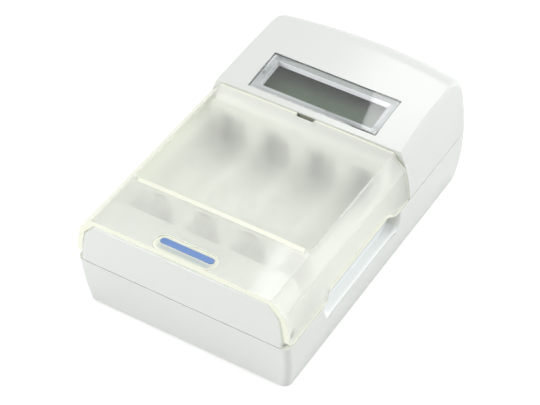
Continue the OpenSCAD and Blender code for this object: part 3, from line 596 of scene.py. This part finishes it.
# Sliders: a white plate in each bay, shaped to the trough, with its foot in a slot of the tray. A
# strip of nickel-plated steel is folded over it, and its tip is khaki.
SLIDER_WHITE, STRIP_NICKEL = (0.92, 0.93, 0.90), (0.80, 0.80, 0.76)
TIP_KHAKI = (0.34, 0.30, 0.22)
slide = plastic("slider_plastic", SLIDER_WHITE, roughness=0.35)
strip = plastic("slider_nickel", STRIP_NICKEL, roughness=0.4, mottle=0.2, grain=0.1, Metallic=0.1)
painted(strip, strip_tip("slider tip", rise=(30.6, 31.0), foot=UNSHADED, tip=TIP_KHAKI))
for bay in BAYS:
    finish("slider_" + bay, slide, FINE_EDGE)
    finish("slider_contact_" + bay, strip)

# Return springs: coils of drawn steel wire with closed ends. They stand on nickel-plated terminals
# at the tray's front wall and press the sliders back.
SPRING_FROM, SPRING_TO, SPRING_Z = -49.35 * MM, -35.45 * MM, 25.1 * MM
SPRING_R, WIRE_R = 2.3 * MM, 0.25 * MM
TURNS, CLOSED_TURNS, TURN_STEPS, WIRE_SIDES = 6.5, 0.8, 28, 8
SPRING_STEEL, TERMINAL_NICKEL = (0.82, 0.82, 0.80), (0.62, 0.59, 0.48)
steel = plastic("spring_steel", SPRING_STEEL, roughness=0.35, mottle=0.2, Metallic=0.5)


def coil_rise(turn):
    """How far along the spring its wire is after so many turns. The end turns lie closed."""
    length = SPRING_TO - SPRING_FROM - 2 * WIRE_R
    end = CLOSED_TURNS * 2.1 * WIRE_R
    if turn < CLOSED_TURNS:
        return turn / CLOSED_TURNS * end
    if turn > TURNS - CLOSED_TURNS:
        return length - (TURNS - turn) / CLOSED_TURNS * end
    return end + (turn - CLOSED_TURNS) / (TURNS - 2 * CLOSED_TURNS) * (length - 2 * end)


def coil(name, x):
    """The wire as a tube along a helix, with a flat cut at each end."""
    rings = int(TURNS * TURN_STEPS)
    points, faces = [], []
    for k in range(rings + 1):
        way, rise = 2 * math.pi * k / TURN_STEPS, coil_rise(k / TURN_STEPS)
        for j in range(WIRE_SIDES):
            around = 2 * math.pi * j / WIRE_SIDES
            r = SPRING_R + WIRE_R * math.cos(around)
            points.append((x + r * math.cos(way),
                           SPRING_FROM + WIRE_R + rise + WIRE_R * math.sin(around),
                           SPRING_Z + r * math.sin(way)))
    for k in range(rings):
        for j in range(WIRE_SIDES):
            one, two = k * WIRE_SIDES + j, k * WIRE_SIDES + (j + 1) % WIRE_SIDES
            faces.append((one, one + WIRE_SIDES, two + WIRE_SIDES, two))
    faces.append(tuple(range(WIRE_SIDES)))
    faces.append(tuple(rings * WIRE_SIDES + j for j in reversed(range(WIRE_SIDES))))
    mesh = bpy.data.meshes.new(name)
    mesh.from_pydata(points, [], faces)
    mesh.polygons.foreach_set("use_smooth", [True] * len(faces))
    mesh.materials.append(steel)
    piece = bpy.data.objects.new(name, mesh)
    bpy.context.scene.collection.objects.link(piece)
    return piece


for k, bay in enumerate(BAYS):
    x = (k - 1.5) * BAY_PITCH * MM
    spring = coil("return_spring_" + bay, x)
    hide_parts("slider_spring_" + bay)
    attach(spring, "case")
    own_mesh(spring)
nickel = plastic("contact_nickel", TERMINAL_NICKEL, roughness=0.4, mottle=0.3, grain=0.1,
                 Metallic=0.35)
finish("spring_terminals", nickel)

# Screws and feet: zinc-plated steel screws that hold the shells and the main board, and four
# round feet of soft black rubber, stuck into pockets in the lower shell.
ZINC_GREY, FOOT_BLACK = (0.45, 0.45, 0.44), (0.02, 0.02, 0.02)
zinc = plastic("screw_steel", ZINC_GREY, roughness=0.35, mottle=0.2, Metallic=1.0)
finish("case_screws", zinc)
finish("board_screws", zinc)
finish("rubber_feet", plastic("soft_rubber", FOOT_BLACK, roughness=0.7, mottle=0.3))

# Camera: a long lens that looks down on the charger's front right corner, as the photograph does.
# The frame is 540 pixels wide, and the lens and its small shift are given in those pixels.
FRAME_PX, FOCAL_PX, SHIFT_PX = 540, 1930.34, (-10.44, -2.47)
SENSOR_MM = 36.0
VIEW_TURN, VIEW_RISE, VIEW_ROLL = math.radians(31.22), math.radians(44.26), math.radians(-0.07)
VIEW_FAR = 661.35 * MM
AIM = Vector((0, -1.75 * MM, 15.6 * MM))


def look_at(holder, spot, target, roll=0.0):
    """Stands a camera or lamp at a spot and turns it to its target."""
    way = (Vector(target) - Vector(spot)).normalized()
    holder.location = spot
    holder.rotation_euler = (way.to_track_quat("-Z", "Y").to_matrix()
                             @ Matrix.Rotation(roll, 3, "Z")).to_euler()
    bpy.context.scene.collection.objects.link(holder)


lens = bpy.data.cameras.new("camera")
lens.sensor_width, lens.lens = SENSOR_MM, FOCAL_PX * SENSOR_MM / FRAME_PX
lens.shift_x, lens.shift_y = (shift / FRAME_PX for shift in SHIFT_PX)
lens.clip_start, lens.clip_end = 0.05, 20
camera = bpy.data.objects.new("camera", lens)
towards = Vector((math.cos(VIEW_RISE) * math.sin(VIEW_TURN),
                  -math.cos(VIEW_RISE) * math.cos(VIEW_TURN), math.sin(VIEW_RISE)))
look_at(camera, AIM + VIEW_FAR * towards, AIM, VIEW_ROLL)
bpy.context.scene.camera = camera

# Lamps: four softboxes on stands. One is in front on the left, one high on the right, and a large
# one high at the rear. A long low one at the rear right lights the housing's side.
WHITE, DAYLIGHT = (1.0, 1.0, 1.0), (0.98, 0.99, 1.0)
LAMP_TARGET = (0, 0, 0.02)
for name, spot, size, power, colour in (
        ("front_left", (-0.6, -0.9, 0.42), (0.6, 0.6), 6.85, WHITE),
        ("right", (0.87, 0.2, 0.75), (0.6, 0.6), 2.3, DAYLIGHT),
        ("rear", (0.009, 0.93, 1.24), (1.1, 1.0), 12.0, WHITE),
        ("rear_right", (0.62, 0.56, 0.12), (0.5, 0.2), 1.75, DAYLIGHT)):
    lamp = bpy.data.lights.new(name, "AREA")
    lamp.shape, lamp.energy, lamp.color = "RECTANGLE", power, colour
    lamp.size, lamp.size_y = size
    look_at(bpy.data.objects.new(name, lamp), spot, LAMP_TARGET)

# Floor: a wide sheet of white paper. It keeps the charger's shadow, and it shows as white to the
# camera, more so far out, where the lamps no longer reach.
FLOOR_HALF = 4.0
PAPER_WHITE = (0.92, 0.92, 0.92)
LIT_AS_FAR_AS, DARK_FROM, NEAR_GLOW, FAR_GLOW = 0.3, 2.0, 0.42, 1.0
mesh = bpy.data.meshes.new("floor")
mesh.from_pydata([(-FLOOR_HALF, -FLOOR_HALF, 0), (FLOOR_HALF, -FLOOR_HALF, 0),
                  (FLOOR_HALF, FLOOR_HALF, 0), (-FLOOR_HALF, FLOOR_HALF, 0)], [], [(0, 1, 2, 3)])
material, tree, surface = new_material("paper")
surface.inputs["Base Color"].default_value = (*PAPER_WHITE, 1)
surface.inputs["Roughness"].default_value = 0.9
far_out = add(tree, "ShaderNodeVectorMath", {"operation": "LENGTH"},
              Vector=add(tree, "ShaderNodeTexCoord").outputs["Object"]).outputs["Value"]
to_camera = add(tree, "ShaderNodeLightPath").outputs["Is Camera Ray"]
strength = maths(tree, "MULTIPLY", to_camera,
                 step(tree, far_out, LIT_AS_FAR_AS, DARK_FROM, NEAR_GLOW, FAR_GLOW))
glow = add(tree, "ShaderNodeEmission", Color=(1, 1, 1, 1), Strength=strength)
lit = add(tree, "ShaderNodeAddShader", i0=surface.outputs[0], i1=glow.outputs[0])
tree.links.new(lit.outputs[0], tree.nodes["Material Output"].inputs["Surface"])
mesh.materials.append(material)
floor = bpy.data.objects.new("floor", mesh)
bpy.context.scene.collection.objects.link(floor)

# Backdrop: white where the camera, gloss and glass look at it, and a soft even light from all
# round elsewhere.
SOFT_LIGHT, PLAIN_WHITE = 0.34, 1.0
world = bpy.data.worlds.new("studio")
bpy.context.scene.world = world
world.use_nodes = True
tree = world.node_tree
tree.nodes.clear()
path = add(tree, "ShaderNodeLightPath").outputs
looked_at = chain(tree, "MAXIMUM", path["Is Camera Ray"], path["Is Glossy Ray"],
                  path["Is Transmission Ray"])
straight = maths(tree, "LESS_THAN", path["Diffuse Depth"], 0.5)
soft = add(tree, "ShaderNodeBackground", Color=(1.0, 1.0, 0.99, 1), Strength=SOFT_LIGHT)
white = add(tree, "ShaderNodeBackground", Color=(1, 1, 1, 1), Strength=PLAIN_WHITE)
backdrop = add(tree, "ShaderNodeMixShader", i0=maths(tree, "MULTIPLY", looked_at, straight),
               i1=soft.outputs[0], i2=white.outputs[0])
world_end = add(tree, "ShaderNodeOutputWorld")
tree.links.new(backdrop.outputs[0], world_end.inputs["Surface"])

bpy.context.scene.view_settings.view_transform = "Standard"
